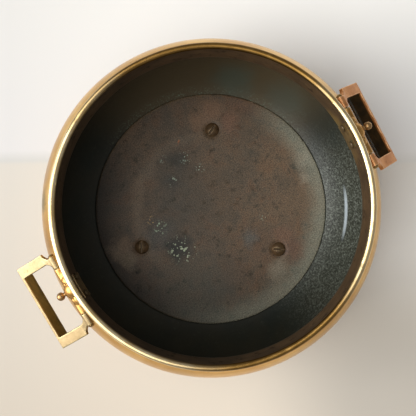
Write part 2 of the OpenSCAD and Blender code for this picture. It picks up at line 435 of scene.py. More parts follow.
def lay(tree: Tree, layer: Layer, where: Socket, lines: Socket | None = None) -> Surface:
    """Builds the nodes of one layer.

    Args:
        tree: Material's node tree.
        layer: Colours, gloss and sizes.
        where: Coordinates in metres.
        lines: Lathe lines that streak the colour and the relief, if the piece was spun.

    Returns:
        The layer's colour, roughness and height.
    """
    patch = add(tree, "TexNoise", {"Scale": 1 / (layer.patch_mm * MM), "Detail": 5.0, "Roughness": 0.6},
                {"Vector": where})
    spots = add(tree, "TexNoise", {"Scale": 1 / (layer.stain_mm * MM), "Detail": 8.0, "Roughness": 0.68},
                {"Vector": where})
    fine = add(tree, "TexNoise", {"Scale": 1 / (layer.relief_size_mm * MM), "Detail": 6.0, "Roughness": 0.65},
               {"Vector": where})
    broad = add(tree, "ValToRGB", {"stops": [(0.38, layer.base), (0.66, layer.second)]},
                {"Fac": patch.outputs["Fac"]})
    speck = add(tree, "MapRange", {"From Min": layer.stain_from, "From Max": layer.stain_from + STAIN_FADE},
                {"Value": spots.outputs["Fac"]})
    # grime with painted shade: concave corners and dips are darkened to the stain colour
    grime = add(tree, "Attribute", {"attribute_name": "grime"})
    wear = add(tree, "Attribute", {"attribute_name": "wear"})
    packed = add(tree, "Math", TIMES | {1: GRIME_AND_SHADE_SHARE}, {0: grime.outputs["Fac"]})
    dirt_and_shade = add(tree, "Math", LARGER, {0: speck.outputs[0], 1: packed.outputs[0]})
    stained = add(tree, "MixRGB", {"Color2": linear(layer.stain)},
                  {"Fac": dirt_and_shade.outputs[0], "Color1": broad.outputs["Color"]})
    tint = veiled(tree, stained.outputs[0], ((wear.outputs["Fac"], WEAR_SHARE, layer.worn),))
    relief = fine.outputs["Fac"]
    if lines is not None:
        streaks = add(tree, "MapRange", {"From Min": 0.42, "From Max": 0.68, "To Max": 0.75},
                      {"Value": lines})
        tint = add(tree, "MixRGB", {"Color2": linear(layer.second)},
                   {"Fac": streaks.outputs[0], "Color1": tint}).outputs[0]
        relief = halved(tree, relief, lines)
    uneven = halved(tree, relief, dirt_and_shade.outputs[0])
    rough = add(tree, "MapRange", {"From Min": 0.15, "From Max": 0.8, "To Min": layer.gloss,
                                   "To Max": layer.dull}, {"Value": uneven})
    return Surface(tint, rough.outputs[0], layer.metallic, relief, layer.relief_mm * MM)


def blend(tree: Tree, share: Socket, under: Surface, over: Surface) -> bpy.types.Node:
    """Makes one shader from two layers, each with its own metal share and relief.

    Args:
        tree: Material's node tree.
        share: How much of the upper layer shows, from 0 to 1.
        under: Layer that shows where the share is 0.
        over: Layer that shows where the share is 1.

    Returns:
        The mixed shader node.
    """
    lower, upper = shade(tree, under), shade(tree, over)
    return add(tree, "MixShader", links={0: share, 1: lower.outputs[0], 2: upper.outputs[0]})


def shade(tree: Tree, surface: Surface) -> bpy.types.Node:
    """Turns a layer into a shader.

    Args:
        tree: Material's node tree.
        surface: The layer's sockets.

    Returns:
        The principled shader node.
    """
    bump = add(tree, "Bump", {"Strength": 1.0, "Distance": surface.relief}, {"Height": surface.height})
    return add(tree, "BsdfPrincipled", {"Metallic": surface.metallic},
               {"Base Color": surface.colour, "Roughness": surface.roughness, "Normal": bump.outputs[0]})


def new_material(name: str) -> tuple[bpy.types.Material, Tree]:
    """Makes an empty node material.

    Args:
        name: The material's name.

    Returns:
        The material and its cleared tree.
    """
    material = bpy.data.materials.new(name)
    material.use_nodes = True
    material.node_tree.nodes.clear()
    return material, material.node_tree


def finish_with(tree: Tree, shader: bpy.types.Node) -> None:
    """Links a shader to the material's output.

    Args:
        tree: Material's node tree.
        shader: Node whose first output is shown.
    """
    add(tree, "OutputMaterial", links={0: shader.outputs[0]})


@dataclass(frozen=True)
class Metal:
    """A single-layer metal finish."""

    name: str
    layer: Layer

    def build(self) -> bpy.types.Material:
        """Builds the material.

        Returns:
            The finished material.
        """
        material, tree = new_material(self.name)
        where = add(tree, "TexCoord").outputs["Object"]
        finish_with(tree, shade(tree, lay(tree, self.layer, where)))
        return material


# Polished spun brass: warm gold with an uneven shine and browner lathe streaks where the cloth missed.
POLISHED = Layer(base="#EBC276", second="#C99A52", stain="#7E5A2C", worn="#F2DDA8", metallic=1.0, gloss=0.26,
                 dull=0.44, patch_mm=24, stain_mm=9, stain_from=0.64, relief_mm=0.02, relief_size_mm=1.2)
# Aged brass inside the collar: brown and half bare, which reads as a warm band under the rim.
COLLAR_BROWN = Layer(base="#6A5134", second="#4A3824", stain="#241C12", worn="#9A7A48", metallic=0.55,
                     gloss=0.36, dull=0.55, patch_mm=18, stain_mm=6, stain_from=0.56, relief_mm=0.04,
                     relief_size_mm=1.3)
# Brass of the bead on the two sides where the lights reflect: pale, as a painted highlight, with broad soft
# highlights that nearly burn out.
BEAD_PALE_HIGHLIGHT = Layer(base="#FBEBC4", second="#E6C68C", stain="#9A7440", worn="#FFF6DC", metallic=1.0, gloss=0.3,
                  dull=0.46, patch_mm=14, stain_mm=3, stain_from=0.66, relief_mm=0.02, relief_size_mm=1.0)
# Brass of the bead elsewhere: dull gold with brown streaks, darkened as painted shade where little light
# reflects.
BEAD_DULL_SHADED = Layer(base="#A27E46", second="#80602F", stain="#5C4220", worn="#D8B878", metallic=1.0, gloss=0.28,
                  dull=0.44, patch_mm=10, stain_mm=3, stain_from=0.6, relief_mm=0.03, relief_size_mm=1.0)
# Oxidised brass inside the belly: near black with a brown to green cast and a sandy, slightly glossy skin.
WALL_DARK = Layer(base="#2B2A20", second="#1F2520", stain="#3C4036", worn="#4A4A3C", metallic=0.05,
                  gloss=0.36, dull=0.6, patch_mm=30, stain_mm=2.4, stain_from=0.58, relief_mm=0.16,
                  relief_size_mm=1.1)


@dataclass(frozen=True)
class Band:
    """An arc round the pot's axis, on which a tint lies.

    Attributes:
        radii_mm: Distances from the axis at which the band begins and is full.
        bearing: Bearing of the arc's middle, in degrees.
        half: Half of the angle that the arc spans, in degrees; a negative one fades sooner.
    """

    radii_mm: tuple[float, float]
    bearing: float
    half: float


# radii of a band that only its bearing limits
ANYWHERE = (1, 2)
# angle over which each end of a band fades, to either side
BAND_FADE = 20


def nearness(tree: Tree, where: Socket, spot_mm: tuple[float, float, float], radius_mm: float) -> Socket:
    """Share of nearness to one spot.

    Args:
        tree: Material's node tree.
        where: Coordinates in metres.
        spot_mm: Place of the spot, in millimetres.
        radius_mm: Distance at which the share has dropped to a third.

    Returns:
        A value that is 1 in the middle and 0 well past the radius.
    """
    middle = tuple(value * MM for value in spot_mm)
    far = add(tree, "VectorMath", {"operation": "DISTANCE", 1: middle}, {0: where})
    fade = add(tree, "MapRange", {"interpolation_type": "SMOOTHSTEP", "From Min": 0.3 * radius_mm * MM,
                                  "From Max": 1.5 * radius_mm * MM, "To Min": 1.0, "To Max": 0.0},
               {"Value": far.outputs["Value"]})
    return fade.outputs[0]


def arc_band(tree: Tree, where: Socket, band: Band) -> Socket:
    """Share of nearness to an arc drawn round the pot's axis.

    Args:
        tree: Material's node tree.
        where: Coordinates in metres.
        band: The arc.

    Returns:
        A value that is 1 within the band and 0 well outside it.
    """
    flat = add(tree, "VectorMath", {"operation": "MULTIPLY", 1: (1, 1, 0)}, {0: where})
    reach = add(tree, "VectorMath", {"operation": "LENGTH"}, {0: flat.outputs[0]})
    smooth = {"interpolation_type": "SMOOTHSTEP"}
    begins, full = band.radii_mm
    across = add(tree, "MapRange", smooth | {"From Min": begins * MM, "From Max": full * MM},
                 {"Value": reach.outputs["Value"]})
    turn = math.radians(band.bearing)
    unit = add(tree, "VectorMath", {"operation": "NORMALIZE"}, {0: flat.outputs[0]})
    facing = add(tree, "VectorMath", {"operation": "DOT_PRODUCT", 1: (math.cos(turn), math.sin(turn), 0)},
                 {0: unit.outputs[0]})
    gone, whole = math.radians(band.half + BAND_FADE), math.radians(max(band.half - BAND_FADE, 0))
    along = add(tree, "MapRange", smooth | {"From Min": math.cos(gone), "From Max": math.cos(whole)},
                {"Value": facing.outputs["Value"]})
    return add(tree, "Math", TIMES, {0: across.outputs[0], 1: along.outputs[0]}).outputs[0]


def astray(tree: Tree, where: Socket, size_mm: float, drift_mm: float) -> Socket:
    """Coordinates pushed about by noise, which make round marks ragged.

    Args:
        tree: Material's node tree.
        where: Coordinates in metres.
        size_mm: Size of the raggedness along the edge.
        drift_mm: Greatest push.

    Returns:
        The pushed coordinates.
    """
    wander = add(tree, "TexNoise", {"Scale": 1 / (size_mm * MM), "Detail": 6.0, "Roughness": 0.68},
                 {"Vector": where})
    push = add(tree, "VectorMath", {"operation": "MULTIPLY_ADD", 1: (2 * drift_mm * MM,) * 3,
                                    2: (-drift_mm * MM,) * 3}, {0: wander.outputs["Color"]})
    return add(tree, "VectorMath", {"operation": "ADD"}, {0: where, 1: push.outputs[0]}).outputs[0]


@dataclass(frozen=True)
class Mark:
    """One stain, bloom or rust mark left by damp soil.

    Attributes:
        place_mm: Its middle.
        radius_mm: Its radius.
        colour: Its colour.
        strength: How strongly it covers, from 0 to 1.
        grains: Whether it breaks up into separate bright grains.
    """

    place_mm: tuple[float, float, float]
    radius_mm: float
    colour: str
    strength: float
    grains: bool = False


def marked(tree: Tree, where: Socket, colour: Socket, marks: tuple[Mark, ...]) -> Socket:
    """Lays a set of marks over a colour.

    Args:
        tree: Material's node tree.
        where: Coordinates in metres.
        colour: Colour beneath.
        marks: The marks, lowest first.

    Returns:
        The marked colour.
    """
    ragged = astray(tree, where, 9, 8)
    # the real crystals are about half a millimetre: drawn at 1.2 mm so that they show
    crystals = add(tree, "TexVoronoi", {"Scale": 1 / (1.9 * MM), "Randomness": 1.0}, {"Vector": where})
    thin = add(tree, "TexNoise", {"Scale": 1 / (4 * MM), "Detail": 2.0}, {"Vector": where})
    edge = add(tree, "Math", {"operation": "MULTIPLY_ADD", 1: 1.3, 2: -0.4}, {0: thin.outputs["Fac"]})
    bright = add(tree, "Math", {"operation": "LESS_THAN"},
                 {0: crystals.outputs["Distance"], 1: edge.outputs[0]})
    for item in marks:
        close = nearness(tree, where if item.grains else ragged, item.place_mm, item.radius_mm)
        if item.grains:
            close = add(tree, "Math", TIMES, {0: close, 1: bright.outputs[0]}).outputs[0]
        colour = veiled(tree, colour, ((close, item.strength, item.colour),))
    return colour


@dataclass(frozen=True)
class SpunBrass:
    """Spun brass sheet: polished outside, browned in the collar, dark and sandy below it, with painted light
    and a painted reflection on the inner wall and painted highlights on the bead.
    """

    name: str = "spun_brass_polished_and_oxidised"
    neck_height: float = 104 * MM
    crest_height: float = 121.6 * MM
    ragged: float = 0.7 * MM
    groove_heights: tuple[float, float] = (23.5 * MM, 20.5 * MM)
    groove: Band = Band((60, 70), 64, 48)
    # a brown tint on the wall near bearing 62 degrees: partly the wall's own tone, partly painted light
    brown_painted_light: Band = Band(ANYWHERE, 62, 42)
    # painted light: the side of the wall near bearing -40 degrees, where the light falls, takes a pale sandy
    # grey
    sandy_painted_light: Band = Band(ANYWHERE, -40, 30)
    # painted reflection: a thin bluish-white streak near bearing -31 degrees, where a light reflects in the
    # wall
    painted_streak: tuple[Band, Band] = (Band((100.4, 101.4), -31, -7), Band((102, 103), -31, 30))
    # painted highlight: the bead's two sides where the lights reflect take the pale brass
    bead_highlight_sides: tuple[Band, Band] = (Band(ANYWHERE, 170, 60), Band(ANYWHERE, -22, 30))
    # dull golden wash and verdigris over the right mount's rivets, green bloom along the floor's groove
    marks: tuple[Mark, ...] = (
        Mark((99, 9, 104), 9, "#8A6F3C", 0.8), Mark((99, -14, 106), 8, "#7C6238", 0.7),
        Mark((98, 4, 100), 5, "#6E7A56", 0.7), Mark((99, -5, 110), 5, "#A68C52", 0.6),
        Mark((62, 76, 28), 16, "#4A564C", 0.6), Mark((88, 44, 30), 16, "#4C5248", 0.6),
    )
    # handling stains on the outside of the belly
    outer_marks: tuple[Mark, ...] = (
        Mark((-98, 59, 86), 8, "#6A6238", 0.75), Mark((-88, 76, 84), 10, "#C9A67C", 0.5),
        Mark((-104, 30, 86), 9, "#A87C3E", 0.6), Mark((-70, -84, 84), 12, "#B08A48", 0.4),
    )

    def lines(self, tree: Tree, where: Socket) -> Socket:
        """Lathe lines that run round the pot.

        Args:
            tree: Material's node tree.
            where: Coordinates in metres.

        Returns:
            A value that changes quickly with height and radius and slowly round the pot.
        """
        flat = add(tree, "VectorMath", {"operation": "MULTIPLY", 1: (1, 1, 0)}, {0: where})
        reach = add(tree, "VectorMath", {"operation": "LENGTH"}, {0: flat.outputs[0]})
        # real lathe lines are 0.2 mm apart: drawn about 1.4 mm apart so that they show
        pressed = add(tree, "VectorMath", {"operation": "MULTIPLY", 1: (26, 26, 700)}, {0: where})
        radial = add(tree, "Math", {"operation": "MULTIPLY", 1: 700.0}, {0: reach.outputs["Value"]})
        turned = add(tree, "TexNoise",
                     {"noise_dimensions": "4D", "Scale": 1.0, "Detail": 3.0, "Roughness": 0.6},
                     {"Vector": pressed.outputs[0], "W": radial.outputs[0]})
        return turned.outputs["Fac"]

    def above(self, tree: Tree, height: Socket, level: float) -> Socket:
        """Share of being above a ragged level.

        Args:
            tree: Material's node tree.
            height: Height above the ground.
            level: Height of the level.

        Returns:
            A value that goes from 0 to 1 across the level.
        """
        step = {"From Min": level - self.ragged, "From Max": level + self.ragged}
        return add(tree, "MapRange", step, {"Value": height}).outputs[0]

    def wall(self, tree: Tree, where: Socket, height: Socket) -> Surface:
        """Lays the dark wall, with its sandy side lightened as painted light, its green groove and a painted
        reflection streak.

        Args:
            tree: Material's node tree.
            where: Coordinates in metres.
            height: Height above the ground.

        Returns:
            The wall's layer.
        """
        wall = lay(tree, WALL_DARK, where)
        begins, full = self.groove_heights
        bloom = add(tree, "MapRange", {"From Min": begins, "From Max": full}, {"Value": height})
        groove = add(tree, "Math", TIMES, {0: arc_band(tree, where, self.groove), 1: bloom.outputs[0]})
        patchy = add(tree, "TexNoise", {"Scale": 1 / (1.3 * MM), "Detail": 4.0, "Roughness": 0.7},
                     {"Vector": where})
        broken = add(tree, "MapRange", {"From Min": 0.54, "From Max": 0.62, "To Max": 0.8},
                     {"Value": patchy.outputs["Fac"]})
        green = add(tree, "Math", TIMES, {0: groove.outputs[0], 1: broken.outputs[0]})
        # brown tint, partly the wall's own tone and partly painted light
        wall.colour = veiled(tree, wall.colour, ((arc_band(tree, where, self.brown_painted_light), 0.75, "#5E5039"),))
        # the sandy skin's grains are 0.3 mm: drawn at 1.5 mm so that they show
        sandy = add(tree, "TexNoise", {"Scale": 1 / (1.5 * MM), "Detail": 5.0, "Roughness": 0.78},
                    {"Vector": where})
        grey = add(tree, "ValToRGB", {"stops": [(0.38, "#1E201A"), (0.5, "#404339"), (0.64, "#848A80")]},
                   {"Fac": sandy.outputs["Fac"]})
        # painted light: pale sandy grey on the side of the wall where the light falls
        lit = add(tree, "Math", TIMES | {1: 0.75}, {0: arc_band(tree, where, self.sandy_painted_light)})
        wall.colour = add(tree, "MixRGB", links={"Fac": lit.outputs[0], "Color1": wall.colour,
                                                 "Color2": grey.outputs["Color"]}).outputs[0]
        # painted reflection: the thin streak is laid in bluish white
        edges = [arc_band(tree, where, band) for band in self.painted_streak]
        streak_share = add(tree, "Math", LESS, dict(enumerate(edges)))
        wall.colour = veiled(tree, wall.colour, ((green.outputs[0], 1.0, "#6C7864"),
                                                 (streak_share.outputs[0], 0.75, "#C4D0D8")))
        wall.colour = marked(tree, where, wall.colour, self.marks)
        return wall

    def bead(self, tree: Tree, where: Socket, lines: Socket) -> Surface:
        """Lays the bead's brass, pale as a painted highlight on the two sides where the lights reflect, and
        dull elsewhere.

        Args:
            tree: Material's node tree.
            where: Coordinates in metres.
            lines: Lathe lines.

        Returns:
            The bead's layer.
        """
        # painted highlight: pale brass on the two sides of the bead, dull brass elsewhere
        sides = [arc_band(tree, where, band) for band in self.bead_highlight_sides]
        rubbed = add(tree, "Math", LARGER, dict(enumerate(sides)))
        bead = lay(tree, BEAD_DULL_SHADED, where, lines)
        pale = lay(tree, BEAD_PALE_HIGHLIGHT, where, lines)
        bead.colour = add(tree, "MixRGB", links={"Fac": rubbed.outputs[0], "Color1": bead.colour,
                                                 "Color2": pale.colour}).outputs[0]
        return bead

    def build(self) -> bpy.types.Material:
        """Builds the material.

        Returns:
            The finished material.
        """
        material, tree = new_material(self.name)
        where = add(tree, "TexCoord").outputs["Object"]
        lines = self.lines(tree, where)
        inside = add(tree, "Attribute", {"attribute_name": "inside"})
        height = add(tree, "SeparateXYZ", links={0: astray(tree, where, 8, 1.2)}).outputs["Z"]
        browned = lay(tree, COLLAR_BROWN, where, lines)
        browned.colour = marked(tree, where, browned.colour, self.marks)
        collar = self.above(tree, height, self.neck_height)
        inner = blend(tree, collar, self.wall(tree, where, height), browned)
        polished = lay(tree, POLISHED, where, lines)
        polished.colour = marked(tree, where, polished.colour, self.outer_marks)
        crest = self.above(tree, height, self.crest_height)
        outer = blend(tree, crest, polished, self.bead(tree, where, lines))
        finish_with(tree, add(tree, "MixShader", links={0: inside.outputs["Fac"], 1: outer.outputs[0],
                                                        2: inner.outputs[0]}))
        return material


# Oxidised brass of the floor: warm brown and grey-brown clouds, fine and nearly matt like dried mud.
SOIL_BROWN = Layer(base="#5A4B3A", second="#67523C", stain="#3B352A", worn="#7C6A52", metallic=0.0, gloss=0.5,
                   dull=0.78, patch_mm=30, stain_mm=6, stain_from=0.56, relief_mm=0.22, relief_size_mm=1.4)


@dataclass(frozen=True)
class FloorPatina:
    """Brown patina of the floor disc, with rust round the screws, verdigris specks and a paler edge, and a
    painted shadow over its left edge.
    """

    name: str = "floor_brass_brown_patina"
    marks: tuple[Mark, ...] = (
        Mark((61, 60, 20), 12, "#6C4A34", 0.45), Mark((-9, -52, 20), 13, "#61462F", 0.4),
        Mark((20, -39, 20), 13, "#644833", 0.4), Mark((8, 12, 20), 22, "#5E4A34", 0.4),
        Mark((62, -27, 20), 14, "#6E5842", 0.45), Mark((-6, 43, 20), 18, "#37352C", 0.5),
        Mark((-15, 16, 20), 24, "#403C32", 0.5), Mark((-45, 0, 20), 13, "#4C5150", 0.5),
        Mark((15, -34, 20), 7, "#585E5C", 0.5), Mark((-40, -50, 20), 30, "#424840", 0.5),
        Mark((37, 66, 20), 9, "#86644A", 0.6), Mark((24, 63, 20), 7, "#84644A", 0.55),
        Mark((45, 52, 20), 7, "#7C5842", 0.65), Mark((39, -44, 20), 8, "#74523E", 0.55),
        Mark((40, -58, 20), 9, "#6E4E3C", 0.6), Mark((23, -65, 20), 8, "#8A8270", 0.6),
        Mark((-76, 5, 20), 8, "#8A7660", 0.6), Mark((-70, 9, 20), 6, "#7A6048", 0.6),
        Mark((-74, -5, 20), 6, "#7E6E58", 0.6), Mark((81, -2, 20), 7, "#A09A88", 0.3),
        Mark((74, -14, 20), 5, "#A89F8C", 0.25), Mark((-36, -14, 20), 10, "#1E211D", 0.85),
        Mark((-3, 44, 20), 8, "#25261F", 0.6), Mark((-15, 31, 20), 6, "#24251F", 0.5),
        Mark((-36, -16, 20), 9, "#B9C4A6", 1.0, True), Mark((-31, -21, 20), 6, "#C4CDB0", 0.9, True),
        Mark((-41, 6, 20), 5, "#A8BC9E", 0.9, True), Mark((-44, 14, 20), 3, "#D8B070", 0.9, True),
        Mark((-15, 32, 20), 4, "#A7B4A0", 0.7, True), Mark((8, 31, 20), 3, "#AEBBA8", 0.8, True),
        Mark((2, 44, 20), 5, "#93A390", 0.7, True), Mark((-14, 51, 20), 3, "#93A390", 0.6, True),
        Mark((33, -25, 20), 3, "#9AA690", 0.7, True), Mark((3, 56, 20), 1.6, "#C87844", 0.9),
    )
    lime: Band = Band((68, 86), -50, 78)
    ring: tuple[Band, Band] = (Band((50, 56), 135, 60), Band((57, 64), 135, 90))
    # painted shadow: darkens the left edge of the floor, where the rim's shadow falls
    left_edge_shadow: Band = Band((58, 88), 172, 44)
    brim: Band = Band((85.5, 89), 0, 180)

    def build(self) -> bpy.types.Material:
        """Builds the material.

        Returns:
            The finished material.
        """
        material, tree = new_material(self.name)
        where = add(tree, "TexCoord").outputs["Object"]
        surface = lay(tree, SOIL_BROWN, where)
        ragged = astray(tree, where, 12, 5)
        cloud = add(tree, "TexNoise", {"Scale": 1 / (11 * MM), "Detail": 7.0, "Roughness": 0.66},
                    {"Vector": ragged})
        rusty = add(tree, "MapRange", {"From Min": 0.5, "From Max": 0.7, "To Max": 0.6},
                    {"Value": cloud.outputs["Fac"]})
        sooty = add(tree, "MapRange", {"From Min": 0.5, "From Max": 0.32, "To Max": 0.6},
                    {"Value": cloud.outputs["Fac"]})
        edges = [arc_band(tree, ragged, band) for band in self.ring]
        ring = add(tree, "Math", LESS, dict(enumerate(edges)))
        colour = veiled(tree, surface.colour, (
            (rusty.outputs[0], 1.0, "#69492F"), (sooty.outputs[0], 1.0, "#3A372C"),
            (arc_band(tree, ragged, self.lime), 0.55, "#8C9080"), (ring.outputs[0], 0.5, "#7A6854"),
            (arc_band(tree, ragged, self.left_edge_shadow), 0.75, "#1A1710"),
            (arc_band(tree, ragged, self.brim), 0.7, "#2E2A22")))
        colour = marked(tree, where, colour, self.marks)
        # dried soil is dusted on in grains of 0.3 mm: drawn at 0.9 mm so that they show
        dust = add(tree, "TexNoise", {"Scale": 1 / (0.9 * MM), "Detail": 3.0, "Roughness": 0.7},
                   {"Vector": where})
        dusted = add(tree, "MapRange", {"From Min": 0.32, "From Max": 0.68}, {"Value": dust.outputs["Fac"]})
        surface.colour = add(tree, "MixRGB", {"blend_type": "OVERLAY", "Fac": 0.6},
                             {"Color1": colour, "Color2": dusted.outputs[0]}).outputs[0]
        finish_with(tree, shade(tree, surface))
        return material


@dataclass(frozen=True)
class HandleBrass:
    """Cast handle: satin on the faces that hands rub, dark olive in the hollow of the grip, as painted shade
    over some oxide.
    """

    name: str
    face: Layer
    hollow: Layer

    def build(self) -> bpy.types.Material:
        """Builds the material.

        Returns:
            The finished material.
        """
        material, tree = new_material(self.name)
        where = add(tree, "TexCoord").outputs["Object"]
        hidden = add(tree, "Attribute", {"attribute_name": "hollow"})
        face, hollow = lay(tree, self.face, where), lay(tree, self.hollow, where)
        finish_with(tree, blend(tree, hidden.outputs["Fac"], face, hollow))
        return material


# Cast brass of the left handle: pale champagne, rubbed to a soft satin by hands.
CHAMPAGNE = Layer(base="#9A8664", second="#84704E", stain="#6A5636", worn="#B4A47C", metallic=0.85,
                  gloss=0.34, dull=0.5, patch_mm=10, stain_mm=4, stain_from=0.62, relief_mm=0.02,
                  relief_size_mm=0.8)
# Cast brass of the right handle: copper-brown, its base brightened and warmed as painted light, since it faces
# away from the lights.
COPPERY = Layer(base="#DA9C66", second="#BE7E4C", stain="#7A5030", worn="#F0C090", metallic=0.65, gloss=0.34,
                dull=0.5, patch_mm=8, stain_mm=3, stain_from=0.6, relief_mm=0.03, relief_size_mm=0.8)
# Hollow of a grip: dark olive, nearly matt, painted shade over some oxide.
OLIVE = Layer(base="#6A5A30", second="#463C20", stain="#6E7856", worn="#8E7A4A", metallic=0.2, gloss=0.42,
              dull=0.64, patch_mm=6, stain_mm=2.4, stain_from=0.64, relief_mm=0.05, relief_size_mm=0.9)
# Hollow of the right grip: nearly black with golden-brown streaks, painted shade over some oxide.
HOLLOW_BLACK = Layer(base="#1C170E", second="#3A2C18", stain="#4A5238", worn="#6E5830", metallic=0.1, gloss=0.4,
              dull=0.6, patch_mm=5, stain_mm=2.2, stain_from=0.62, relief_mm=0.05, relief_size_mm=0.9)
# Ball finials, turned and then left alone: dull tan with a darker bloom.
FINIAL = Metal("turned_brass_tarnished", Layer(
    base="#B08C60", second="#96734A", stain="#5A4228", worn="#D8BC8C", metallic=0.9, gloss=0.32, dull=0.5,
    patch_mm=4, stain_mm=1.8, stain_from=0.6, relief_mm=0.01, relief_size_mm=0.7))
# Turned brass of the feet: the tool left it smooth, so it carries small crisp highlights.
TURNED = Metal("turned_brass_polished", Layer(
    base="#C9A068", second="#A87C48", stain="#6A4A28", worn="#F4DFB4", metallic=1.0, gloss=0.18, dull=0.36,
    patch_mm=5, stain_mm=2, stain_from=0.62, relief_mm=0.01, relief_size_mm=0.8))
# Cast brass of the mounts: bright on the lobes, brown to black in the dips, where the cloth can't reach and
# painted shade lies.
CAST = Metal("cast_brass_lightly_polished", Layer(
    base="#C99A58", second="#B08248", stain="#6E4E28", worn="#E4C48A", metallic=0.9, gloss=0.3, dull=0.46,
    patch_mm=6, stain_mm=2.4, stain_from=0.64, relief_mm=0.015, relief_size_mm=0.9))
# Tarnished brass screws: dull brown with darker pits and a rubbed crown.
SCREW = Metal("screw_brass_tarnished", Layer(
    base="#6E5438", second="#59452F", stain="#2C2013", worn="#A08A62", metallic=0.35, gloss=0.4, dull=0.62,
    patch_mm=4, stain_mm=1.6, stain_from=0.55, relief_mm=0.08, relief_size_mm=0.7))
# Browned sheet brass of the backing plates: golden where scratched, green where damp sat.
PLATE = Metal("plate_brass_browned", Layer(
    base="#80663C", second="#5A4628", stain="#4E5C44", worn="#B09058", metallic=0.5, gloss=0.34, dull=0.56,
    patch_mm=5, stain_mm=2, stain_from=0.54, relief_mm=0.05, relief_size_mm=0.8))
# Copper rivets, peened by hammer: soft brown domes with a greenish bloom.
RIVET = Metal("rivet_copper_peened", Layer(
    base="#5C4A30", second="#4C3C26", stain="#4C5842", worn="#7A6440", metallic=0.4, gloss=0.38, dull=0.58,
    patch_mm=2, stain_mm=1, stain_from=0.56, relief_mm=0.05, relief_size_mm=0.6))
# Drawn brass pins: the drawing die left them bright, and only their heads have browned.
PIN = Metal("pin_brass_drawn", Layer(
    base="#A88C5C", second="#8E7044", stain="#5C4224", worn="#C8AC74", metallic=1.0, gloss=0.3, dull=0.46,
    patch_mm=3, stain_mm=1.5, stain_from=0.6, relief_mm=0.01, relief_size_mm=0.5))
# Drawn iron wire in the bead: grey-brown with rust.
WIRE = Metal("wire_iron_drawn", Layer(
    base="#5C5750", second="#4A443E", stain="#5A3A26", worn="#8A857C", metallic=0.9, gloss=0.35, dull=0.6,
    patch_mm=6, stain_mm=2, stain_from=0.55, relief_mm=0.02, relief_size_mm=0.6))


# ---------------------------------------------------------------- sub-assemblies


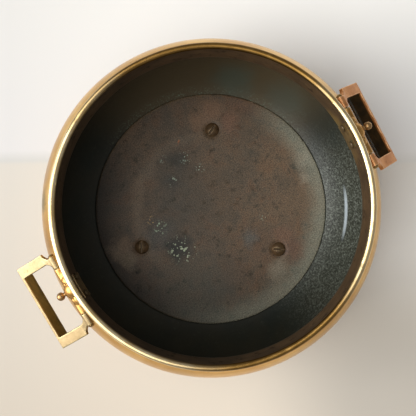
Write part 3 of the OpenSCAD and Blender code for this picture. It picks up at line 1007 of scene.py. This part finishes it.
@dataclass
class Bowl:
    """Spun bowl with its in-turned flange, belly, shoulder, collar and rolled bead."""

    belly_height: float = 70 * MM
    collar_height: float = 21 * MM
    neck_inset: float = 1.7 * MM
    wall: float = 1.2 * MM
    groove: float = 1.2 * MM
    flange: float = 8 * MM
    lift: float = 0.2 * MM
    segments: int = 480
    wave_mm: float = 0.1
    wave_size: float = 55 * MM
    nick_reach: float = 4 * MM
    ridge_half: float = 0.9 * MM
    # angle round the bead at which the inside's finish begins, and over which it comes, in degrees
    inside_from: float = 172
    inside_over: float = 14
    # height in millimetres, bearing and half width in degrees, and depth in millimetres of each long tool
    # mark in the wall
    ridges: tuple[tuple[float, float, float, float], ...] = ((37.5, -31, 11, 0.42), (31.0, -24, 9, 0.16))
    # bearing in degrees, depth and half width in millimetres of each nick in the bead
    nicks: tuple[tuple[float, float, float], ...] = ((-50, 0.35, 1.3), (118, 0.2, 1.6), (150, 0.25, 1.0),
                                                     (-92, 0.15, 2.2), (12, 0.12, 1.5), (-20, 0.15, 1.2))

    def section(self) -> tuple[Points, list[float]]:
        """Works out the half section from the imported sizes.

        Returns:
            The closed outline, and for each of its points the share of inside finish.
        """
        shell_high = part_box("body_shell")[1]
        wire_low, wire_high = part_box("rim_wire")
        floor_low, floor_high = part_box("floor_disc")
        bead_z = (wire_low.z + wire_high.z) / 2
        bead = shell_high.z - bead_z
        rim = wire_high.x - (wire_high.z - wire_low.z) / 2
        belly = shell_high.x
        neck = rim - self.neck_inset
        neck_z = shell_high.z - self.collar_height
        rise = self.belly_height - floor_high.z
        run = belly - self.wall - floor_high.x - self.groove
        low = (run * run + rise * rise) / (2 * run)
        low_at = (belly - self.wall - low, self.belly_height)
        rise = neck_z - self.belly_height
        run = belly - neck
        top = (run * run + rise * rise) / (2 * run)
        top_at = (belly - top, self.belly_height)
        collar = rim - bead + self.wall + self.lift
        bottom = floor_low.z - self.wall
        seat_turn = math.degrees(math.asin((self.belly_height - floor_low.z) / low))
        base_turn = math.degrees(math.asin((self.belly_height - bottom) / (low + self.wall)))
        neck_turn = math.degrees(math.acos((neck - self.wall - top_at[0]) / (top - self.wall)))
        out_turn = math.degrees(math.acos((collar - rim) / bead))
        in_turn = math.degrees(math.acos((collar - self.wall - rim) / bead))
        seat = low_at[0] + low * math.cos(math.radians(seat_turn))
        bead_out = (collar, bead_z - bead * math.sin(math.radians(out_turn)))
        bead_in = (collar - self.wall, bead_z - bead * math.sin(math.radians(in_turn)))
        neck_in = (neck - self.wall,
                   self.belly_height + (top - self.wall) * math.sin(math.radians(neck_turn)))
        outside = line((seat - self.flange, bottom), (low_at[0] + math.sqrt((low + self.wall) ** 2 - (
            self.belly_height - bottom) ** 2), bottom), 6)
        outside += arc(low_at, low + self.wall, -base_turn, 0, 36)
        outside += arc(top_at, top, 0, math.degrees(math.asin(rise / top)), 26)[1:-1]
        outside += line((neck, neck_z), bead_out, 12)
        roll = arc((rim, bead_z), bead, -out_turn, 360 - in_turn, 44)
        inner = line(bead_in, neck_in, 14)[1:]
        inner += arc(top_at, top - self.wall, neck_turn, 0, 26)[:-1]
        inner += arc(low_at, low, 0, -seat_turn, 96)
        inner += line((seat, floor_low.z), (seat - self.flange, floor_low.z), 6)[1:]
        inner += [(seat - self.flange, floor_low.z)]
        over = np.linspace(-out_turn, 360 - in_turn, len(roll))
        turned = np.clip((over - self.inside_from) / self.inside_over, 0, 1)
        shares = [0.0] * len(outside) + list(turned) + [1.0] * len(inner)
        return outside + roll + inner, shares

    def build(self) -> bpy.types.Object:
        """Spins the section, then dents it a little and nicks the bead.

        Returns:
            The bowl.
        """
        outline, shares = self.section()
        ring = np.array(outline)
        turns = np.radians(np.arange(self.segments) * 360 / self.segments)
        count = len(ring)
        radius = np.tile(ring[:, 0], self.segments)
        height = np.tile(ring[:, 1], self.segments)
        turn = np.repeat(turns, count)
        points = np.stack([radius * np.cos(turn), radius * np.sin(turn), height], 1)
        sink = (grain(points, self.wave_size, 2) + 1) * 0.5 * self.wave_mm * MM
        top = height.max()
        near_rim = np.clip(1 - (top - height) / self.nick_reach, 0, 1)
        for bearing, depth, half in self.nicks:
            off = (np.degrees(turn) - bearing + 180) % 360 - 180
            reach = off / 180 * math.pi * radius / (half * MM)
            height = height - depth * MM * np.exp(-reach ** 2) * near_rim * (radius > ring[:, 0].max() * 0.8)
        within = np.tile(np.array(shares) == 1, self.segments)
        for level, bearing, half, depth in self.ridges:
            off = (np.degrees(turn) - bearing + 180) % 360 - 180
            swell = np.exp(-((height - level * MM) / self.ridge_half) ** 2 - (off / half) ** 2) * within
            radius = radius - depth * MM * swell
        radius = radius - sink
        points = np.stack([radius * np.cos(turn), radius * np.sin(turn), height], 1)
        index = np.arange(self.segments * count).reshape(self.segments, count)
        after = np.roll(index, -1, 0)
        quads = np.stack([index, after, np.roll(after, -1, 1), np.roll(index, -1, 1)], -1).reshape(-1, 4)
        made = mesh_object("spun_bowl", points, quads.tolist())
        mark(made, "inside", np.tile(shares, self.segments))
        return made

    def dress(self) -> None:
        """Builds the bowl, gives it its finish and puts it on the pot."""
        made = self.build()
        dress(made, SpunBrass().build())
        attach(made, "pot")
        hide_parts("body_shell")
        dress(frame["nodes"]["rim_wire"], WIRE.build())
        log.info("bowl: %d faces", len(made.data.polygons))


@dataclass
class FloorDisc:
    """Floor disc, warped and crusted a little."""

    voxel_mm: float = 0.75

    def dress(self) -> None:
        """Builds the disc, gives it its finish and puts it on the pot."""
        made = cast_copy("floor_plate", "floor_disc", self.voxel_mm, 2)
        roughen(made, 30, 0.25)
        roughen(made, 4, 0.12)
        dress(made, FloorPatina().build())
        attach(made, "pot")
        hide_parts("floor_disc")
        log.info("floor: %d faces", len(made.data.polygons))


@dataclass
class FootSet:
    """Three turned feet and the slotted screws that hold them."""

    voxel_mm: float = 0.2

    def dress(self) -> None:
        """Dresses the feet, and rebuilds the screws with worn heads."""
        turned = TURNED.build()
        tarnished = SCREW.build()
        for foot in Foot:
            name = foot.name.lower()
            dress(frame["nodes"]["foot_" + name], turned)
            screw = cast_copy("worn_screw_" + name, "foot_screw_" + name, self.voxel_mm, 2)
            roughen(screw, 1.5, 0.12)
            dress(screw, tarnished)
            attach(screw, "pot")
            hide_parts("foot_screw_" + name)
            log.info("foot and screw %s: %d faces", name, len(screw.data.polygons))


@dataclass
class HandleMounts:
    """Cast mounts with their backing plates, rivets and ball finials."""

    voxel_mm: float = 0.24

    def dress(self) -> None:
        """Rebuilds the mounts as soft castings and dresses what they carry."""
        cast, finial, plate, rivet = CAST.build(), FINIAL.build(), PLATE.build(), RIVET.build()
        for side in Side:
            node = "handle_mount_" + side.value
            made = cast_copy("cast_mount_" + side.value, node, self.voxel_mm, 5)
            roughen(made, 5, 0.02)
            dress(made, cast)
            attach(made, "pot")
            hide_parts(node)
            dress(frame["nodes"]["ball_finial_" + side.value], finial)
            dress(frame["nodes"]["backing_plate_" + side.value], plate)
            dress(frame["nodes"]["mount_rivets_" + side.value], rivet)
            log.info("mount %s: %d faces", side.value, len(made.data.polygons))


@dataclass
class DropHandles:
    """The two hinged handles and their pins."""

    voxel_mm: float = 0.34
    length: float = 26.5 * MM
    lip: float = 1.4 * MM
    arm_share: float = 0.6
    brink: float = 0.2 * MM
    droops: dict[Side, float] = field(default_factory=lambda: {Side.LEFT: 17.0, Side.RIGHT: 45.2})

    def local(self, side: Side, points: np.ndarray) -> np.ndarray:
        """Turns row coordinates into the handle's own.

        Args:
            side: Which handle.
            points: Places in the row frame, one row each.

        Returns:
            Distance out along the arms, along the hinge, and up from the arms' middle, one row each.
        """
        joint = next(j for j in frame["joints"] if j["child"] == "handle_" + side.value)
        hinge = Vector(joint["pos_m"])
        bearing = math.atan2(hinge.y, hinge.x)
        turn = Matrix.Rotation(math.radians(-self.droops[side]), 3, "Y") @ Matrix.Rotation(-bearing, 3, "Z")
        return (points - np.array(hinge)) @ np.array(turn).T

    def dress(self) -> None:
        """Rebuilds the handles as rubbed castings and dresses the pins."""
        finishes = {
            Side.LEFT: HandleBrass("handle_brass_champagne_satin", CHAMPAGNE, OLIVE),
            Side.RIGHT: HandleBrass("handle_brass_copper_painted_light", COPPERY, HOLLOW_BLACK),
        }
        pin = PIN.build()
        for side in Side:
            node = "drop_handle_" + side.value
            made = cast_copy("cast_handle_" + side.value, node, self.voxel_mm, 2)
            roughen(made, 5, 0.08)
            here = self.local(side, coordinates(made))
            facing = self.local(side, normals(made) + np.array(Vector(self.hinge(side))))
            outward, _, up = here.T
            # the grip's hollow, which takes a painted shade over some oxide
            inner = np.clip((self.length - self.lip - outward) / (0.5 * MM), 0, 1)
            inner *= np.clip((outward - self.arm_share * self.length) / (1.2 * MM), 0, 1)
            inner *= np.clip((-self.brink - up) / (0.8 * MM), 0, 1)
            inner *= np.clip(-facing[:, 0] * 3 + 0.6, 0, 1)
            mark(made, "hollow", inner)
            dress(made, finishes[side].build())
            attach(made, "handle_" + side.value)
            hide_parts(node)
            for end in ("front", "back"):
                dress(frame["nodes"][f"hinge_pin_{side.value}_{end}"], pin)
            log.info("handle %s: %d faces", side.value, len(made.data.polygons))

    def hinge(self, side: Side) -> list[float]:
        """Finds a point of the hinge line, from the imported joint.

        Args:
            side: Side of the handle.

        Returns:
            The point in the row frame.
        """
        return next(j for j in frame["joints"] if j["child"] == "handle_" + side.value)["pos_m"]


# ---------------------------------------------------------------- studio


@dataclass(frozen=True)
class Softbox:
    """A square soft light.

    Attributes:
        name: Its name.
        place: Metres to the right, towards the top of the view and above the floor.
        size: Its side, in metres.
        power: Its power, in watts.
        colour: Its colour.
    """

    name: str
    place: tuple[float, float, float]
    size: float
    power: float
    colour: str


@dataclass
class Studio:
    """Pale floor, soft lights and the camera, which looks down into the bowl."""

    focal: float = 62.45
    sensor: float = 36.0
    eye_mm: tuple[float, float, float] = (-9.5, -3.1, 572.8)
    aim_mm: tuple[float, float, float] = (-3.1, 0.6, 125.0)
    up_bearing: float = 60.9
    half_floor: float = 4.0
    lit_height: float = 80 * MM
    air_colour: str = "#E0DFDC"
    air_strength: float = 0.36
    lights: tuple[Softbox, ...] = (Softbox("white_wall", (-0.95, -0.24, 1.5), 2.2, 35.0, "#FFFEFA"),
                                   Softbox("window", (-1.3, -0.26, 0.72), 0.9, 18.0, "#FFFFFF"))

    def across(self, right: float, up: float, height: float) -> Vector:
        """A place in the studio, laid out as the camera sees it.

        Args:
            right: Metres to the right of the pot's axis.
            up: Metres towards the top of the view.
            height: Metres above the floor.

        Returns:
            The place in the row frame.
        """
        turn = math.radians(self.up_bearing)
        return Vector((right * math.sin(turn) + up * math.cos(turn),
                       -right * math.cos(turn) + up * math.sin(turn), height))

    def hang(self, box: Softbox) -> None:
        """Hangs one soft light that faces the pot.

        Args:
            box: The light.
        """
        light = bpy.data.lights.new(box.name, "AREA")
        light.shape = "SQUARE"
        light.size = box.size
        light.energy = box.power
        light.color = linear(box.colour)[:3]
        lamp = bpy.data.objects.new(box.name, light)
        lamp.location = self.across(*box.place)
        lamp.visible_camera = False
        aim = Vector((0, 0, self.lit_height)) - lamp.location
        lamp.rotation_euler = aim.to_track_quat("-Z", "Y").to_euler()
        bpy.context.scene.collection.objects.link(lamp)

    def paper(self) -> bpy.types.Material:
        """Builds the floor's paper, which fades from warm to white, with painted light and shade: darker to
        the left, brighter to the right of the pot, and a painted shadow at the lower right.

        Returns:
            The finished material.
        """
        material, tree = new_material("studio_paper")
        where = add(tree, "TexCoord").outputs["Object"]
        turn = math.radians(self.up_bearing)
        along = add(tree, "VectorMath", {"operation": "DOT_PRODUCT", 1: (math.cos(turn), math.sin(turn), 0)},
                    {0: where})
        tone = add(tree, "TexNoise", {"Scale": 5.0, "Detail": 3.0}, {"Vector": where})
        drift = add(tree, "Math", {"operation": "MULTIPLY_ADD", 1: 0.012, 2: -0.006},
                    {0: tone.outputs["Fac"]})
        place = add(tree, "Math", {"operation": "ADD"}, {0: along.outputs["Value"], 1: drift.outputs[0]})
        share = add(tree, "MapRange", {"From Min": -0.16, "From Max": 0.16}, {"Value": place.outputs[0]})
        ramp = [(0.0, "#DCD2C4"), (0.612, "#E5E1DA"), (0.622, "#DCDDDC"), (0.645, "#ECECEE"),
                (1.0, "#F4F3F1")]
        plain = add(tree, "ValToRGB", {"stops": ramp}, {"Fac": share.outputs[0]})
        # painted light and shade: the paper darkens to the left and brightens to the right, where the pot's
        # shadow falls
        sideways = add(tree, "VectorMath",
                       {"operation": "DOT_PRODUCT", 1: (math.sin(turn), -math.cos(turn), 0)}, {0: where})
        painted_falloff = add(tree, "MapRange", {"From Min": -0.16, "From Max": 0.12, "To Min": 0.73, "To Max": 1.1},
                    {"Value": sideways.outputs["Value"]})
        shaded = add(tree, "VectorMath", {"operation": "SCALE"},
                     {0: plain.outputs[0], "Scale": painted_falloff.outputs[0]})
        # painted light to the right of the pot, and a painted shadow at its lower right
        bright = nearness(tree, where, tuple(self.across(150, -12, 0)), 60)
        painted_shadow = nearness(tree, where, tuple(self.across(150, -150, 0)), 90)
        toned = veiled(tree, shaded.outputs[0], ((bright, 0.9, "#FFFCF8"), (painted_shadow, 0.85, "#B4AEA5")))
        finish_with(tree, add(tree, "BsdfPrincipled", {"Roughness": 0.85}, {"Base Color": toned}))
        return material

    def aim_camera(self) -> None:
        """Sets the camera, which looks down from its eye to its aim."""
        eye = Vector(self.eye_mm) * MM
        back = (eye - Vector(self.aim_mm) * MM).normalized()
        turn = math.radians(self.up_bearing)
        right = Vector((math.cos(turn), math.sin(turn), 0)).cross(back).normalized()
        rotation = Matrix((right, back.cross(right), back)).transposed()
        lens = bpy.data.cameras.new("camera")
        lens.sensor_width = self.sensor
        lens.lens = self.focal
        lens.clip_start = 0.01
        camera = bpy.data.objects.new("camera", lens)
        camera.matrix_world = Matrix.Translation(eye) @ rotation.to_4x4()
        bpy.context.scene.collection.objects.link(camera)
        bpy.context.scene.camera = camera

    def build(self) -> None:
        """Sets the floor, world, lights and camera."""
        scene = bpy.context.scene
        scene.view_settings.view_transform = "Standard"
        half = self.half_floor
        floor = mesh_object("studio_floor", np.array([(-half, -half, 0), (half, -half, 0), (half, half, 0),
                                                      (-half, half, 0)]), [(0, 1, 2, 3)])
        dress(floor, self.paper())
        world = bpy.data.worlds.new("studio_air")
        world.use_nodes = True
        background = world.node_tree.nodes["Background"]
        background.inputs["Color"].default_value = linear(self.air_colour)
        background.inputs["Strength"].default_value = self.air_strength
        scene.world = world
        for box in self.lights:
            self.hang(box)
        self.aim_camera()


def main() -> None:
    """Builds the studio and each sub-assembly in order."""
    logging.basicConfig(level=logging.INFO, format="%(name)s: %(message)s")
    Studio().build()
    for assembly in (Bowl(), FloorDisc(), FootSet(), HandleMounts(), DropHandles()):
        assembly.dress()


if __name__ == "__main__":
    main()
